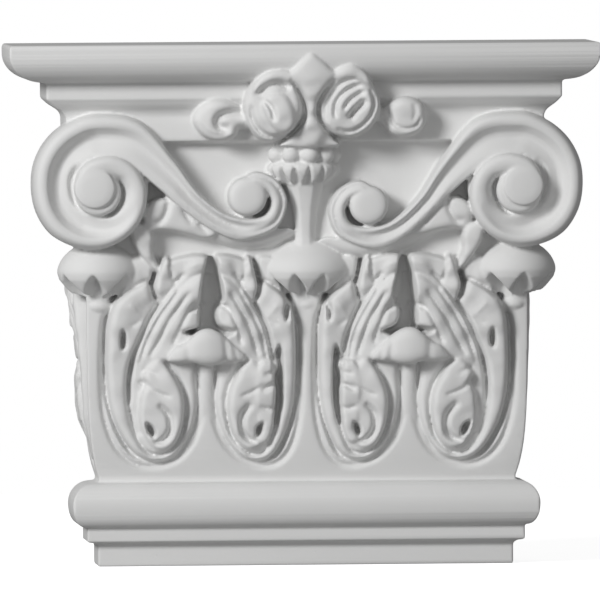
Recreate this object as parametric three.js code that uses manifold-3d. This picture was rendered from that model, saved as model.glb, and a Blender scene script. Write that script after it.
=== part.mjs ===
import * as THREE from 'three';
import { LoftGeometry } from 'three/addons/geometries/LoftGeometry.js';
import { mergeVertices } from 'three/addons/utils/BufferGeometryUtils.js';
import Module from 'manifold-3d';

// A pilaster capital cast in one piece. X runs along the wall, Z up, and the front faces -Y.
// Most sizes are given as a reach: the distance out from the wall face, in mm.

// Overall sizes and the plain mouldings
const depth = 70;                 // reach of the top lip
const coreHalf = 53.8;            // half width is this plus the reach, so every return is mitred
const height = 221;
const plinthReach = 33.6;
const plinthTop = 8.7;
const filletReach = 38;
const filletBottom = 10.8;
const torusBottom = 16.7;
const torusTop = 35.3;
const torusReach = 43.9;
const neckReach = 34.5;
const stemReach = 39.6;
const flareTop = 57;
const bellBottom = 130.5;
const bellReach = 40;
const abacusBottom = 179.8;
const abacusReach = 47.2;
const cavettoBottom = 190;
const fasciaBottom = 197.1;
const fasciaTop = 205;
const fasciaReach = 54.6;

// Carved bays: two a side of the centre stem, each with a short stem and a knob in the middle
const bayCentre = 43.1;
const bayMiddle = 22.3;           // middle of the sunk U, out from the centre of its bay
const bayHalf = 19;
const bayFloor = 44;
const baySpring = 78;
const sunkReach = 33;
const sideFold = 0.82;            // the same carving, folded to the depth of the side
const buried = 22;                // reach at which the carving's own undersides lie in the body

// Calyx caps over the stems
const cornerCapX = 88;
const cornerCapReach = 36;
const cornerCapRadius = 17.5;
const centreCapReach = 34;
const centreCapRadius = 20.3;
const capWidestZ = 124.5;
const capTopZ = 134.6;
const centreCapRise = 4.6;

// Volutes, S bands and inner scrolls
const voluteX = 88.6;
const voluteZ = 160.3;
const voluteRim = [31.5, 27.7, 25.3, 21, 14.2, 8.8, 11];   // outer edge at each quarter turn
const voluteCrest = 56.5;
const eyeRadius = 8.2;
const eyeReach = 60.5;
const bolsterX = 91;
const bolsterRadius = 22;
const bolsterWaist = 19;
const scrollCrest = 53;
const scrollEyeX = 24.6;
const scrollEyeZ = 157.4;
const scrollEyeRadius = 8.2;
const rightScrollDrop = 4.2;      // the casting's right inner scroll hangs a little lower

// Centre ornament
const budTopZ = 216;
const budHalf = 9.3;
const roseLeft = { x: -14, z: 194.3, radius: 13.1 };
const roseRight = { x: 15.4, z: 195.2, radius: 14.2 };
const roseReach = 66;
const curlLeft = { x: -38.6, z: 189.3, radius: 9.6 };
const curlRight = { x: 40.6, z: 189.3, radius: 8.2 };
const curlReach = 58.5;
const cupX = -1;
const cupRadius = 15.2;
const cupZ = 167.4;
const cupReach = 42;

const wall = depth / 2;
const wasm = await Module();
wasm.setup();

// One closed shape from a geometry, turned right side out
function solid(geometry) {
  const bare = copyOf(geometry);
  bare.deleteAttribute('uv');
  bare.deleteAttribute('normal');
  const merged = mergeVertices(bare, 1e-4);
  const position = merged.getAttribute('position').array;
  const index = Array.from(merged.getIndex().array);
  const tris = [];
  for (let i = 0; i < index.length; i += 3) {
    const [a, b, c] = [index[i], index[i + 1], index[i + 2]];
    if (a !== b && b !== c && c !== a) tris.push(a, b, c);
  }
  const corner = (k) => new THREE.Vector3().fromArray(position, 3 * k);
  let volume = 0;
  for (let i = 0; i < tris.length; i += 3) {
    volume += corner(tris[i]).dot(corner(tris[i + 1]).cross(corner(tris[i + 2])));
  }
  if (volume < 0) {
    for (let i = 0; i < tris.length; i += 3) [tris[i], tris[i + 1]] = [tris[i + 1], tris[i]];
  }
  return new wasm.Manifold(new wasm.Mesh({
    numProp: 3,
    vertProperties: new Float32Array(position),
    triVerts: new Uint32Array(tris),
  }));
}

// A skin through closed sections, capped at both ends
function loft(sections) {
  const middle = (ring) => ring.reduce((sum, p) => sum.add(p), new THREE.Vector3()).divideScalar(ring.length);
  const facing = new THREE.Vector3();
  sections[0].forEach((p, i, ring) => {
    const q = ring[(i + 1) % ring.length];
    facing.x += (p.y - q.y) * (p.z + q.z);
    facing.y += (p.z - q.z) * (p.x + q.x);
    facing.z += (p.x - q.x) * (p.y + q.y);
  });
  const ahead = middle(sections[1]).sub(middle(sections[0]));
  const ordered = facing.dot(ahead) > 0 ? sections : sections.map((ring) => ring.slice().reverse());
  return new LoftGeometry(ordered, { capStart: true, capEnd: true });
}

const curveOf = (points) => new THREE.CatmullRomCurve3(
  points.map(([x, z, reach = 0]) => new THREE.Vector3(x, -reach, z)), false, 'centripetal');

// Cross-sections of a carved strip: how far across, and how far down from the crest
const roundBack = [[0, 1], [0.26, 0.12], [0.74, 0.12], [1, 1]];
const ridgeAtEdge = [[0, 1], [0.12, 0.2], [0.28, 0], [0.5, 0.42], [1, 0.3]];
const leafBack = [[0, 1], [0.3, 0.1], [0.75, 0.15], [1, 0.9]];

// A carved strip between two edge lines. Reach is its crest, and drop is how far its edges lie below that.
function strip(edgeA, edgeB, reaches, drop, profile, steps) {
  const a = curveOf(edgeA);
  const b = curveOf(edgeB);
  const crest = curveOf(reaches.map((reach, i) => [i, 0, reach]));
  const sections = [];
  for (let i = 0; i <= steps; i++) {
    const t = i / steps;
    const p = a.getPoint(t);
    const q = b.getPoint(t);
    const top = -crest.getPoint(t).y;
    const ring = profile.map(([across, down]) => {
      const point = p.clone().lerp(q, across);
      point.y = -(top - down * drop);
      return point;
    });
    ring.push(new THREE.Vector3(q.x, -buried, q.z), new THREE.Vector3(p.x, -buried, p.z));
    sections.push(ring);
  }
  return loft(sections);
}

// A turned shape: profile is [radius, distance along the axis], from the axis back to the axis
function turned(profile, segments) {
  return new THREE.LatheGeometry(profile.map(([r, along]) => new THREE.Vector2(r, along)), segments);
}
const boss = (profile, segments, x, z) => turned(profile, segments).scale(1, -1, 1).translate(x, wall, z);
const post = (profile, segments, x, reach) => turned(profile, segments).rotateX(Math.PI / 2)
  .translate(x, wall - reach, 0);

const copyOf = (geometry) => new THREE.BufferGeometry().copy(geometry);
const forward = (geometry) => copyOf(geometry).translate(0, wall, 0);
const mirrored = (geometry) => copyOf(geometry).scale(-1, 1, 1);

// The plain body: one stack of mitred rectangles from plinth to lip
const torusMiddle = (torusBottom + torusTop) / 2;
const torusHalf = (torusTop - torusBottom) / 2;
const torusFoot = torusReach - 6.6;
const levels = [
  [0, plinthReach], [plinthTop, plinthReach], [(plinthTop + filletBottom) / 2, plinthReach + 1.2],
  [filletBottom, filletReach], [torusBottom, filletReach], [torusBottom + 0.1, torusFoot],
];
for (let i = 1; i < 8; i++) {
  const angle = -Math.PI / 2 + (Math.PI * i) / 8;
  levels.push([torusMiddle + (torusHalf - 0.3) * Math.sin(angle), torusFoot + (torusReach - torusFoot) * Math.cos(angle)]);
}
levels.push([torusTop, torusFoot - 1], [torusTop + 0.1, neckReach]);
for (let i = 1; i <= 4; i++) {
  const t = i / 4;
  levels.push([torusTop + (flareTop - torusTop) * t, neckReach + (stemReach - neckReach) * Math.pow(t, 1.4)]);
}
levels.push([bellBottom, stemReach], [bellBottom + 0.1, bellReach], [abacusBottom, bellReach]);
levels.push([abacusBottom + 0.1, abacusReach], [cavettoBottom, abacusReach + 0.4]);
for (let i = 1; i < 4; i++) {
  const angle = (Math.PI / 2) * (i / 4);
  levels.push([cavettoBottom + (fasciaBottom - cavettoBottom) * Math.sin(angle),
    abacusReach + 0.4 + (fasciaReach - abacusReach - 1.2) * (1 - Math.cos(angle))]);
}
levels.push([fasciaBottom, fasciaReach - 0.6], [fasciaBottom + 0.8, fasciaReach], [fasciaTop, fasciaReach]);
const lipFoot = fasciaTop + 0.6;
for (let i = 1; i <= 7; i++) {
  const angle = (Math.PI / 2) * (i / 7);
  levels.push([lipFoot + (height - 5 - lipFoot) * (1 - Math.cos(angle)),
    fasciaReach + 2 + (depth - fasciaReach - 2) * Math.sin(angle)]);
}
levels.push([height - 0.6, depth], [height, depth - 0.6]);
const rectangle = ([z, reach]) => {
  const half = coreHalf + reach;
  return [[-half, wall], [-half, wall - reach], [half, wall - reach], [half, wall]]
    .map(([x, y]) => new THREE.Vector3(x, y, z));
};
let capital = solid(loft(levels.map(rectangle)));

// One half bay, in its own frame: x out from the centre of the bay, z up, -y the reach
const bayOutline = new THREE.Shape();
bayOutline.moveTo(bayMiddle - bayHalf, bellBottom);
for (let i = 0; i <= 10; i++) {
  const angle = Math.PI + (Math.PI * i) / 10;
  const c = Math.cos(angle);
  const s = Math.sin(angle);
  bayOutline.lineTo(bayMiddle + bayHalf * Math.sign(c) * Math.pow(Math.abs(c), 0.9),
    baySpring - (baySpring - bayFloor) * Math.pow(Math.abs(s), 0.9));
}
bayOutline.lineTo(bayMiddle + bayHalf, bellBottom);
const sunk = new THREE.ExtrudeGeometry(bayOutline, { depth: 40, bevelEnabled: false })
  .rotateX(Math.PI / 2).translate(0, -sunkReach, 0);

const broadBand = strip(
  [[36, 121], [41, 96], [41, 78.6], [38.6, 60], [30.6, 47], [22.6, 44.4], [13.7, 47.4], [5, 62.1], [3.8, 72.2], [6.5, 86]],
  [[26, 119], [28.5, 94], [32.6, 78.6], [31.8, 61.7], [26.8, 52], [21.8, 48.6], [15.8, 51], [9.5, 61.7], [9.5, 71.8], [14, 82.4]],
  [42, 46.5, 43, 41, 39.5, 39.2, 39.4, 40, 40.5, 40], 5, roundBack, 13);
const flutedLeaf = strip(
  [[28.6, 54.1], [32.4, 68], [31.8, 80.7], [26.6, 101.5], [19, 114], [9.5, 127]],
  [[23.3, 60.7], [25.8, 70.1], [25, 82], [15.3, 93.4], [3, 105.6], [0.9, 120]],
  [40.5, 42.5, 45, 48.5, 51.5, 51], 6, leafBack, 7);
const leafTip = strip(
  [[26, 112], [20, 121], [14, 126], [7, 130.5], [1.8, 131]],
  [[16, 108], [12, 113], [8, 117], [4, 121], [0.8, 122]],
  [44, 50, 53, 55, 53], 7, roundBack, 5);
const curledLeaf = strip(
  [[25, 88], [22.4, 79], [20.3, 71], [16.5, 62], [18.4, 55.6], [23.4, 54.4], [25.6, 58]],
  [[15.2, 88], [10.4, 75.8], [9.6, 67.2], [10.8, 58.2], [17.1, 49.8], [25.1, 49.8], [30.4, 60]],
  [45, 46, 45, 43.5, 42, 41.5, 41.5], 6, roundBack, 10);
const lobes = [[23.6, 83.5, 5, 4.6, 45.5], [24.8, 72.5, 5, 5, 45], [5.5, 103, 6, 5.5, 49.5],
  [4.2, 112.5, 5.4, 5.6, 51.5], [31.5, 108, 5, 7, 47.5]].map(([x, z, halfX, halfZ, reach]) =>
  turned([[0, buried], [1, buried], [1, reach - 3.5], [0.62, reach - 0.8], [0, reach]], 6)
    .scale(halfX, -1, halfZ).translate(x, 0, z));
const knob = strip(
  [[-16, 89.5], [-9, 95.5], [0, 101.5], [9, 95.5], [16, 89.5]],
  [[-14.5, 84.5], [-8, 86], [0, 86.5], [8, 86], [14.5, 84.5]],
  [45, 49, 52, 49, 45], 6, roundBack, 8);

const halfBay = [broadBand, flutedLeaf, leafTip, curledLeaf, ...lobes];
const sideBay = [broadBand, flutedLeaf, leafTip, curledLeaf];
const toFront = (side, outward) => new THREE.Matrix4().set(
  side * outward, 0, 0, side * bayCentre, 0, 1, 0, wall, 0, 0, 1, 0, 0, 0, 0, 1);
const toSide = (side) => new THREE.Matrix4().set(
  0, -side, 0, side * coreHalf, -sideFold, 0, 0, wall, 0, 0, 1, 0, 0, 0, 0, 1);
const fronts = [toFront(-1, 1), toFront(-1, -1), toFront(1, 1), toFront(1, -1)];
const sides = [toSide(-1), toSide(1)];
for (const place of [...fronts, ...sides]) capital = capital.subtract(solid(copyOf(sunk).applyMatrix4(place)));
for (const place of fronts) {
  for (const piece of halfBay) capital = capital.add(solid(copyOf(piece).applyMatrix4(place)));
}
for (const place of sides) {
  for (const piece of sideBay) capital = capital.add(solid(copyOf(piece).applyMatrix4(place)));
}
for (const side of [-1, 1]) capital = capital.add(solid(copyOf(knob).applyMatrix4(toFront(side, 1))));

// A calyx cap: a domed ring whose underside runs down to the stem in points, with hollows between them
function calyx(x, reach, radius, points, turn, rise) {
  const rings = [
    [105, 0.26 * radius, 0.26 * radius], [112, 0.46 * radius, 0.36 * radius],
    [117.5, 0.8 * radius, 0.42 * radius], [capWidestZ - 2.4, 0.97 * radius, 0.86 * radius],
    [capWidestZ + 1, radius, radius], [capTopZ - 3, 0.88 * radius, 0.88 * radius], [capTopZ + rise, 0.5 * radius, 0.5 * radius],
  ];
  const around = 3 * points;
  return loft(rings.map(([z, full, hollow]) => Array.from({ length: around }, (_, k) => {
    const angle = (2 * Math.PI * k) / around;
    const wave = 0.5 - 0.5 * Math.cos(points * angle);
    const r = hollow + (full - hollow) * wave;
    return new THREE.Vector3(x + r * Math.sin(angle + turn), wall - reach - r * Math.cos(angle + turn), z);
  })));
}
for (const side of [-1, 1]) capital = capital.add(solid(calyx(side * cornerCapX, cornerCapReach, cornerCapRadius, 6, 0, 1.5)));
capital = capital.add(solid(calyx(0, centreCapReach, centreCapRadius, 8, Math.PI / 8, centreCapRise)));

// A volute: its outer edge tightens by the quarter turn, from the top outwards, down and back in
function rimRadius(quarters) {
  const i = Math.min(Math.floor(quarters), voluteRim.length - 2);
  return THREE.MathUtils.lerp(voluteRim[i], voluteRim[i + 1], quarters - i);
}
const onVolute = (quarters, radius) => {
  const angle = Math.PI / 2 - (Math.PI / 2) * quarters;
  return [voluteX + radius * Math.cos(angle), voluteZ + radius * Math.sin(angle)];
};
const turnA = [];
const turnB = [];
const turnReach = [];
for (let i = 0; i <= 16; i++) {
  const q = i / 4;
  const inner = q < 2 ? rimRadius(q + 4) + 0.4 : Math.max(12.4 - 2.4 * (q - 2), eyeRadius);
  turnA.push(onVolute(q, rimRadius(q)));
  turnB.push(onVolute(q, inner));
  turnReach.push(voluteCrest + (eyeReach - voluteCrest) * Math.pow(q / 4, 1.6));
}
const voluteTurn = strip(turnA, turnB, turnReach, 6, ridgeAtEdge, 20);
const voluteFloor = boss([[0, 20], [20, 20], [20, 49.5], [0, 52]], 18, voluteX, voluteZ);
const voluteEye = boss([[0, 30], [eyeRadius + 0.8, 30], [eyeRadius + 0.8, eyeReach - 2], [eyeRadius - 0.6, eyeReach], [0, eyeReach + 0.3]],
  16, voluteX + 1, voluteZ - 2);
const bolster = boss([[0, 0], [bolsterRadius, 0], [bolsterWaist, 16], [bolsterWaist, 30], [bolsterRadius, 46], [0, 46]],
  16, bolsterX, voluteZ);

// The band swings down from the volute's top and turns up into the inner scroll
const bandTop = [[88.7, 191.7], [70.6, 188.4], [56.6, 172.8], [46.5, 158.9], [35.9, 150.6], [27, 148.3], [19, 150], [16.5, 155.9]];
const bandUnder = [[88.7, 174], [76.1, 171.5], [65.5, 158.9], [54.1, 151.3], [40.1, 142], [27.5, 138.1], [13.5, 143.2], [9.3, 153.4]];
const scrollTop = [[16.3, 154], [17.5, 159], [21.5, 161], [27, 160.5]];
const scrollUnder = [[9.3, 152], [14.2, 163.5], [21.5, 167.2], [31.5, 164.5]];
const drop = (points, by) => points.map(([x, z]) => [x, z - by * THREE.MathUtils.smoothstep(66 - x, 0, 30)]);
for (const side of [-1, 1]) {
  const by = side > 0 ? rightScrollDrop : 0;
  const band = strip(drop(bandTop, by), drop(bandUnder, by),
    [voluteCrest, voluteCrest - 0.5, 54.5, scrollCrest, 52.5, 52.5, scrollCrest, scrollCrest], 6, ridgeAtEdge, 14);
  const scroll = strip(drop(scrollTop, by), drop(scrollUnder, by), [scrollCrest, scrollCrest, scrollCrest, scrollCrest - 1], 5, roundBack, 6);
  const eye = boss([[0, 30], [scrollEyeRadius + 0.5, 30], [scrollEyeRadius, scrollCrest], [scrollEyeRadius - 1.5, scrollCrest + 1.5],
    [0, scrollCrest + 2]], 12, scrollEyeX, scrollEyeZ - by);
  const placed = [...[voluteTurn, band, scroll].map(forward), voluteFloor, voluteEye, bolster, eye];
  for (const piece of placed) capital = capital.add(solid(side > 0 ? piece : mirrored(piece)));
}

// The centre ornament: bud, two roses, two curled tendrils, and a petal cup on a tapering stem
const budShape = [[budTopZ, 0.9, 68], [213, 0.55 * budHalf, 69.6], [209, budHalf, 69.4], [204.5, 0.7 * budHalf, 67], [200, 3.2, 64],
  [196.5, 1.7, 62], [190, 2.6, 60], [183, 5.4, 58], [177, 8, 56]];
capital = capital.add(solid(forward(strip(
  budShape.map(([z, half]) => [-half, z]), budShape.map(([z, half]) => [half, z]),
  budShape.map(([, , reach]) => reach), 5, roundBack, 12))));
for (const { x, z, radius } of [roseLeft, roseRight]) {
  capital = capital.add(solid(boss([[0, 30], [radius, 30], [radius, roseReach - 10], [0.9 * radius, roseReach - 5], [0.76 * radius, roseReach - 3.6],
    [0.66 * radius, roseReach - 5], [0.5 * radius, roseReach - 1.2], [0, roseReach + 0.5]], 14, x, z)));
}
for (const { x, z, radius } of [curlLeft, curlRight]) {
  capital = capital.add(solid(boss([[0, 30], [radius, 30], [radius, curlReach - 8], [0.82 * radius, curlReach - 3], [0.5 * radius, curlReach - 0.8],
    [0, curlReach]], 10, x, z)));
  const inner = x > 0 ? roseRight : roseLeft;
  const join = [[x, z - radius * 0.75], [(x + inner.x) / 2, z - 5], [inner.x, inner.z - 8]];
  capital = capital.add(solid(forward(strip(join.map(([px, pz]) => [px, pz + 3.4]), join.map(([px, pz]) => [px, pz - 2.2]),
    [54, 55.5, 56], 3, roundBack, 4))));
}
capital = capital.add(solid(post([[0, 136], [4, 137], [3.4, 142], [4.6, 150], [7.4, 160], [8, 162.2], [0.75 * cupRadius, 163.4],
  [cupRadius, cupZ], [0.88 * cupRadius, 171.2], [0.72 * cupRadius, 172], [0.72 * cupRadius, 177], [0.6 * cupRadius, 178.5], [0, 180.5]],
14, cupX, cupReach)));

// The back is one flat face against the wall
const behind = new THREE.BoxGeometry(4 * coreHalf + 2 * depth, depth, 2 * height).translate(0, wall + depth / 2, height / 2);
capital = capital.subtract(solid(behind));

const mesh = capital.getMesh();
const geometry = new THREE.BufferGeometry();
geometry.setAttribute('position', new THREE.BufferAttribute(new Float32Array(mesh.vertProperties), 3));
geometry.setIndex(new THREE.BufferAttribute(new Uint32Array(mesh.triVerts), 1));
geometry.computeVertexNormals();

const casting = new THREE.MeshStandardMaterial({ color: '#dcdcda', roughness: 0.62, metalness: 0 });
const body = new THREE.Mesh(geometry, casting);
body.name = 'capital';

const group = new THREE.Group();
group.name = 'pilaster_capital';
group.add(body);
export default group;
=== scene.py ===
import math

import bmesh
import bpy
import numpy as np
from mathutils import Matrix, Vector


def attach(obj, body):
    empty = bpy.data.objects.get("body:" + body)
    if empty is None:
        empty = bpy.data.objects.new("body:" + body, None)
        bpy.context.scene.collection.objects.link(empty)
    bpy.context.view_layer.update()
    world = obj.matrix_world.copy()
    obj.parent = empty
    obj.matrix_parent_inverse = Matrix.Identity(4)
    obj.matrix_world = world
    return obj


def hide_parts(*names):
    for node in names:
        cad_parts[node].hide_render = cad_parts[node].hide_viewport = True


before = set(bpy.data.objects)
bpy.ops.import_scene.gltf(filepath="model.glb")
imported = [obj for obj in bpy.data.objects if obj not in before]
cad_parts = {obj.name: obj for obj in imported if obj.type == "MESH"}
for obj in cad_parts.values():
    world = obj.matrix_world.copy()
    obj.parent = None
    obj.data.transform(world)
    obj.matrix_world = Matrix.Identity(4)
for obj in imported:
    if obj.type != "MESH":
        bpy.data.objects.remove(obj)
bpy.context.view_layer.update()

# The plain body of the casting: plinth, fillet, torus, neck, bell, abacus and thumb lip, poured in one
# with the carving. Every level is a rectangle with its back on the wall, so the mouldings meet in mitres
# at both corners. Sizes are in mm; reach is the distance out from the wall.
WALL = 35.0
CORE_HALF = 53.8
LIP_REACH = 70.0
PLINTH_REACH = 34.2
FILLET_REACH = 38.9
TORUS_REACH = 45.2
NECK_REACH = 34.5
STEM_REACH = 39.6
BELL_REACH = 40.0
ABACUS_REACH = 47.2
FASCIA_REACH = 54.6
SHEET_BACK = 24.0
TORUS_MIDDLE = 26.0
LIP_FOOT = 205.2


def spot(x, reach, z):
    return Vector((x * 0.001, (WALL - reach) * 0.001, z * 0.001))


def neck_reach(z):
    """The plain face over the torus sweeps out to the stems, fast at first."""
    rise = 1 - np.exp(-np.maximum(z - 37.5, 0) / 13.5)
    return NECK_REACH + (STEM_REACH - NECK_REACH) * rise


pattern = bmesh.new()


def join_pattern(piece):
    """Adds a finished piece to the pattern that the whole casting is made from."""
    bmesh.ops.recalc_face_normals(piece, faces=piece.faces[:])
    loose = bpy.data.meshes.new("loose_piece")
    piece.to_mesh(loose)
    piece.free()
    pattern.from_mesh(loose)
    bpy.data.meshes.remove(loose)


# each level is a height and its reach, from the underside up
levels = [(0.0, PLINTH_REACH - 0.3), (0.3, PLINTH_REACH), (8.4, PLINTH_REACH), (9.2, 34.8), (9.9, 36.0),
          (10.3, 38.5), (10.6, FILLET_REACH), (15.9, FILLET_REACH), (16.3, 38.8), (16.6, 38.6)]
for step in range(0, 25):
    turn = -math.pi / 2 + math.pi * (0.03 + 0.94 * step / 24)
    foot, round_off = (39.4, 0.85) if turn < 0 else (36.4, 1.05)
    belly = (TORUS_REACH - foot) * math.cos(turn) ** round_off
    levels.append((TORUS_MIDDLE + 9.3 * math.sin(turn), foot + belly))
levels += [(35.5, NECK_REACH), (36.5, SHEET_BACK), (131.0, SHEET_BACK), (131.2, BELL_REACH),
           (134.0, BELL_REACH), (178.8, BELL_REACH), (179.8, ABACUS_REACH - 0.5), (180.3, ABACUS_REACH),
           (190.0, ABACUS_REACH + 0.2), (191.0, 47.7), (192.0, 48.2), (193.0, 49.1), (194.0, 50.4),
           (195.0, 51.7), (196.0, 52.8), (196.9, 53.5), (197.4, FASCIA_REACH - 0.6),
           (197.8, FASCIA_REACH - 0.1), (198.2, FASCIA_REACH), (204.6, FASCIA_REACH),
           (205.0, FASCIA_REACH + 0.6)]
for step in range(1, 15):
    turn = math.pi / 2 * step / 14
    levels.append((LIP_FOOT + 11.6 * (1 - math.cos(turn)), FASCIA_REACH + 1.2 + 14.2 * math.sin(turn)))
levels += [(219.8, LIP_REACH), (220.6, LIP_REACH - 0.3), (221.0, LIP_REACH - 1.0)]

# The carved bays: one each side of the centre stem, sunk into the bell, and half a bay on each return.
# Each half is a broad band round a sunk U, with a fluted leaf and a curled one. They are worked as clay on
# a sheet, with the outlines drawn at 14.275 units to the mm, then laid on the front and the sides.
BAY_MIDDLE = 42.9
INNER_NARROWER = 0.895
DRAWN = 14.275
SUNK = 33.0
BAY_TOP = 146.18
MIDDLE_LINE = 932
CORNER = CORE_HALF + STEM_REACH
GRAIN = 0.36
SHEET_SETTING = 20.0
RAGGED_TIPS = ((578, 885), (548, 955))


def smooth_line(points, closed=False, fine=9):
    """An even curve through a few points."""
    knots = np.array(points, float)
    if closed:
        ends = np.vstack([knots[-1:], knots, knots[:2]])
        spans = len(knots)
    else:
        ends = np.vstack([2 * knots[0] - knots[1], knots, 2 * knots[-1] - knots[-2]])
        spans = len(knots) - 1
    part = np.linspace(0, 1, fine, endpoint=False)[:, None]
    runs = []
    for i in range(spans):
        a, b, c, d = ends[i:i + 4]
        runs.append(0.5 * (2 * b + (c - a) * part + (2 * a - 5 * b + 4 * c - d) * part ** 2
                           + (3 * b - a - 3 * c + d) * part ** 3))
    runs.append(knots[:1] if closed else knots[-1:])
    return np.vstack(runs)


class Clay:
    """A sheet of clay: how far each place reaches from the wall, worked with a few modelling strokes."""

    def __init__(self, out, up, plain, place, cliff=14.0):
        self.out = out
        self.up = up
        self.plain = plain
        self.reach = np.repeat(plain[:, None], len(out), axis=1)
        self.place = place
        self.cliff = cliff

    def _near(self, points, closed, margin):
        line = smooth_line([self.place(*point) for point in points], closed)
        low = line.min(axis=0) - margin
        high = line.max(axis=0) + margin
        cols = np.where((self.out >= low[0]) & (self.out <= high[0]))[0]
        rows = np.where((self.up >= low[1]) & (self.up <= high[1]))[0]
        if not len(cols) or not len(rows):
            return None
        part = (slice(rows[0], rows[-1] + 1), slice(cols[0], cols[-1] + 1))
        x, z = np.meshgrid(self.out[part[1]], self.up[part[0]])
        best = np.full(x.shape, 1e9)
        along = np.zeros(x.shape)
        inside = np.zeros(x.shape, bool)
        count = len(line) - 1
        for i in range(count):
            a = line[i]
            run = line[i + 1] - a
            size = run @ run
            if size < 1e-12:
                continue
            t = np.clip(((x - a[0]) * run[0] + (z - a[1]) * run[1]) / size, 0, 1)
            gap = (x - a[0] - t * run[0]) ** 2 + (z - a[1] - t * run[1]) ** 2
            closer = gap < best
            best = np.where(closer, gap, best)
            along = np.where(closer, (i + t) / count, along)
            if closed and abs(run[1]) > 1e-12:
                crossed = (a[1] > z) != (line[i + 1][1] > z)
                inside ^= crossed & (x < a[0] + run[0] * (z - a[1]) / run[1])
        return part, x, z, np.sqrt(best), along, inside

    def swell(self, outline, heights, soft, drop):
        """Builds up a leaf or band inside an outline, domed in from its edge, to a few given heights."""
        part, x, z, gap, along, inside = self._near(outline, True, 1.5)
        total = np.zeros(x.shape)
        weight = np.zeros(x.shape)
        for cx, cy, height in heights:
            px, pz = self.place(cx, cy)
            near = 1 / ((x - px) ** 2 + (z - pz) ** 2 + 4.0) ** 1.5
            total += near * height
            weight += near
        gap = np.where(inside, gap, -gap)
        k = np.clip(gap / soft, 0, 1)
        built = total / weight - drop * (1 - np.sqrt(1 - (1 - k) ** 2)) + self.cliff * np.minimum(gap, 0)
        self.reach[part] = np.maximum(self.reach[part], built)

    def sink(self, outline, floor, soft):
        """Cuts back to a floor inside an outline, with a wall that slopes over soft mm."""
        part, x, z, gap, along, inside = self._near(outline, True, 1)
        k = np.clip(gap / soft, 0, 1)
        k = k * k * (3 - 2 * k)
        here = self.reach[part]
        self.reach[part] = np.where(inside, here + (np.minimum(floor, here) - here) * k, here)

    def crease(self, line, width, depth, start=0.18, end=0.18):
        """Draws a groove along a line, fading at its ends. A negative depth raises a rib."""
        part, x, z, gap, along, inside = self._near(line, False, 3 * width)
        fade = np.clip(along / max(start, 1e-3), 0, 1) * np.clip((1 - along) / max(end, 1e-3), 0, 1)
        self.reach[part] -= depth * np.exp(-(gap / width) ** 2) * np.sqrt(fade)


U_GROUND = [(1000, 232), (600, 232), (480, 300), (385, 390), (325, 500), (298, 640), (290, 800),
            (292, 950), (305, 1080), (330, 1200), (370, 1310), (420, 1400), (480, 1450), (590, 1478),
            (700, 1450), (790, 1380), (850, 1280), (885, 1180), (893, 1080), (893, 960), (882, 868),
            (930, 850), (1000, 850)]
BAND = [(585, 380), (549, 362), (470, 405), (404, 458), (362, 531), (338, 633), (330, 750), (326, 900),
        (338, 1080), (374, 1230), (432, 1350), (500, 1425), (600, 1455), (715, 1420), (806, 1320),
        (860, 1200), (880, 1080), (868, 960), (852, 832), (678, 832), (722, 900), (772, 985), (800, 1110),
        (790, 1240), (740, 1340), (660, 1405), (600, 1415), (545, 1390), (492, 1300), (460, 1170),
        (450, 1050), (462, 900), (500, 800), (549, 736), (603, 615), (651, 500), (615, 464)]
BAND_CREST = [(450, 500, 48), (400, 600, 47), (560, 420, 47.5), (600, 540, 44.5), (520, 640, 45.5),
              (470, 760, 44), (370, 760, 45), (430, 850, 43.5), (385, 950, 43), (400, 1120, 42),
              (450, 1290, 41), (600, 1440, 40), (760, 1370, 40.2), (850, 1180, 41), (840, 900, 41),
              (740, 870, 41.5)]
TONGUE = [(416, 440), (440, 370), (476, 320), (480, 225), (610, 225), (602, 330), (578, 372), (490, 420)]
TONGUE_CREST = [(450, 400, 44), (500, 330, 46), (570, 330, 44.5), (540, 240, 45)]
TONGUE_LINE = [(400, 470), (464, 418), (530, 380), (584, 352)]
GROOVE_ROUND = [(326, 540), (306, 640), (296, 800), (294, 965), (302, 1146), (332, 1297), (380, 1399),
                (452, 1462), (543, 1484), (633, 1474), (724, 1441), (796, 1381), (850, 1303), (887, 1194),
                (899, 1086), (899, 965), (884, 880)]
TALL_LEAF = [(545, 1392), (495, 1310), (464, 1180), (455, 1050), (470, 900), (510, 760), (570, 620),
             (652, 498), (690, 440), (716, 385), (706, 300), (718, 238), (800, 212), (890, 203),
             (937, 226), (944, 330), (936, 420), (903, 485), (850, 522), (893, 512), (925, 545),
             (921, 600), (885, 642), (800, 670), (840, 690), (862, 715), (850, 800), (760, 850),
             (660, 850), (600, 900), (560, 960), (548, 1080), (550, 1200), (570, 1310)]
TALL_LEAF_CREST = [(515, 1300, 38.5), (500, 1200, 39), (500, 1050, 40), (510, 920, 41), (560, 780, 43.5),
                   (640, 620, 46.5), (760, 480, 50), (880, 400, 52), (900, 290, 51), (760, 290, 48.5),
                   (800, 600, 49), (900, 580, 47.5), (760, 750, 45)]
CURLED_LEAF = [(620, 832), (572, 880), (543, 935), (556, 985), (528, 1050), (520, 1100), (512, 1160),
               (520, 1250), (550, 1330), (605, 1380), (670, 1385), (735, 1335), (778, 1240), (794, 1130),
               (778, 1020), (725, 920), (665, 845)]
CURLED_LEAF_CREST = [(640, 880, 45), (600, 960, 46), (690, 960, 46.5), (740, 1080, 46), (600, 1100, 45),
                     (740, 1230, 44.5), (560, 1200, 43.5), (670, 1340, 43), (570, 1310, 42.5)]
INNER_CURL = [(462, 850), (560, 850), (610, 960), (600, 1180), (590, 1330), (530, 1340), (486, 1250),
              (474, 1130), (464, 1020), (474, 960), (458, 900)]
INNER_CURL_CREST = [(500, 900, 46), (540, 1000, 46.5), (530, 1200, 44.5), (560, 1300, 43)]
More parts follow.
